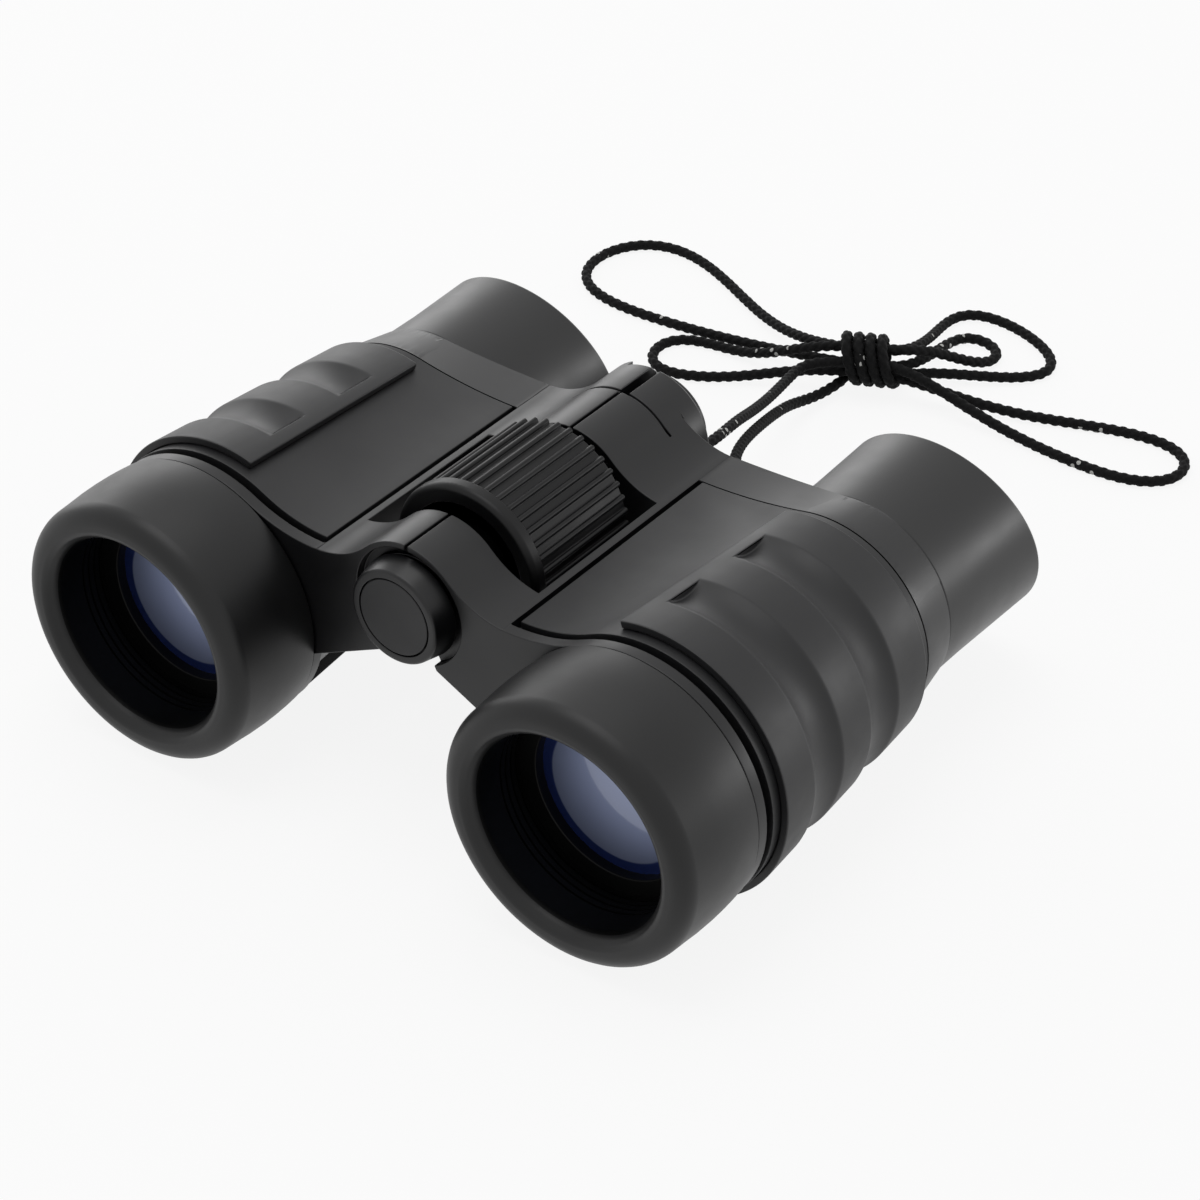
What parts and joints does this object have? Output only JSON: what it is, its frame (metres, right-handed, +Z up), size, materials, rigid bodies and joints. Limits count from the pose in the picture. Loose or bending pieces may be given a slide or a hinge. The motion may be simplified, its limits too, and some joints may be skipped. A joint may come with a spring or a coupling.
{
  "type": "toy binoculars",
  "caption": "Toy binoculars with folding barrels on a centre hinge, a ribbed focus wheel that slides the eyepieces, finger-fluted grips and a neck cord tied in a bow.",
  "frame": {"origin": "middle of the object on the plane that the grip pads rest on, without the cord", "axes": "+X across the barrels to the right barrel, +Y from the objectives to the eyecups, +Z up"},
  "size_m": [0.1291, 0.1735, 0.0456],
  "materials": {
    "body_plastic": "satin black moulded plastic",
    "armour": "fine-textured matt black",
    "grip": "fine-textured matt black",
    "hood": "fine-textured matt black",
    "eyecup": "fine-textured matt black",
    "wheel": "satin black moulded plastic",
    "inner_plastic": "dull black",
    "coated_lens": "clear with a blue coating",
    "eye_lens": "clear",
    "steel": "bright drawn rod",
    "cord": "black braid"
  },
  "bodies": {
    "right_barrel": {"right_body_shell": "body_plastic", "right_armour_cover": "armour", "right_grip_pad": "grip", "right_objective_hood": "hood", "right_objective_lens": "coated_lens", "right_lens_ring": "inner_plastic", "hinge_axle": "steel", "front_hinge_cap": "body_plastic", "front_cap_disc": "hood", "rear_hinge_cap": "body_plastic", "cord_lead_left": "cord", "cord_bow": "cord", "cord_lead_right": "cord"},
    "left_barrel": {"left_body_shell": "body_plastic", "left_armour_cover": "armour", "left_grip_pad": "grip", "left_objective_hood": "hood", "left_objective_lens": "coated_lens", "left_lens_ring": "inner_plastic"},
    "focus_drive": {"focus_wheel": "wheel", "focus_spindle": "inner_plastic"},
    "focus_nut": {"focus_carriage": "inner_plastic"},
    "right_eyepiece": {"right_eyepiece_tube": "inner_plastic", "right_eye_lens": "eye_lens", "right_eye_lens_ring": "inner_plastic", "right_eyecup": "eyecup"},
    "left_eyepiece": {"left_eyepiece_tube": "inner_plastic", "left_eye_lens": "eye_lens", "left_eye_lens_ring": "inner_plastic", "left_eyecup": "eyecup"}
  },
  "joints": [
    {"name": "barrel_fold", "type": "hinge", "parent": "right_barrel", "child": "left_barrel", "pos_m": [0, 0, 0.03327], "axis": [0, -1, 0], "range_deg": [0, 45]},
    {"name": "focus_turn", "type": "hinge", "parent": "right_barrel", "child": "focus_drive", "pos_m": [0, 0, 0.03327], "axis": [0, 1, 0], "range_deg": [0, 343]},
    {"name": "focus_nut_slide", "type": "slide", "parent": "right_barrel", "child": "focus_nut", "axis": [0, 1, 0], "range_m": [0, 0.0038]},
    {"name": "right_eyepiece_slide", "type": "slide", "parent": "right_barrel", "child": "right_eyepiece", "axis": [0, 1, 0], "range_m": [0, 0.00385]},
    {"name": "left_eyepiece_slide", "type": "slide", "parent": "left_barrel", "child": "left_eyepiece", "axis": [0, 1, 0], "range_m": [0, 0.00385]}
  ],
  "couplings": [
    {"joint": "focus_turn", "follows": "focus_nut_slide", "rad_per_m": 1570.8},
    {"joint": "right_eyepiece_slide", "follows": "focus_nut_slide", "ratio": 1},
    {"joint": "left_eyepiece_slide", "follows": "focus_nut_slide", "ratio": 1}
  ]
}
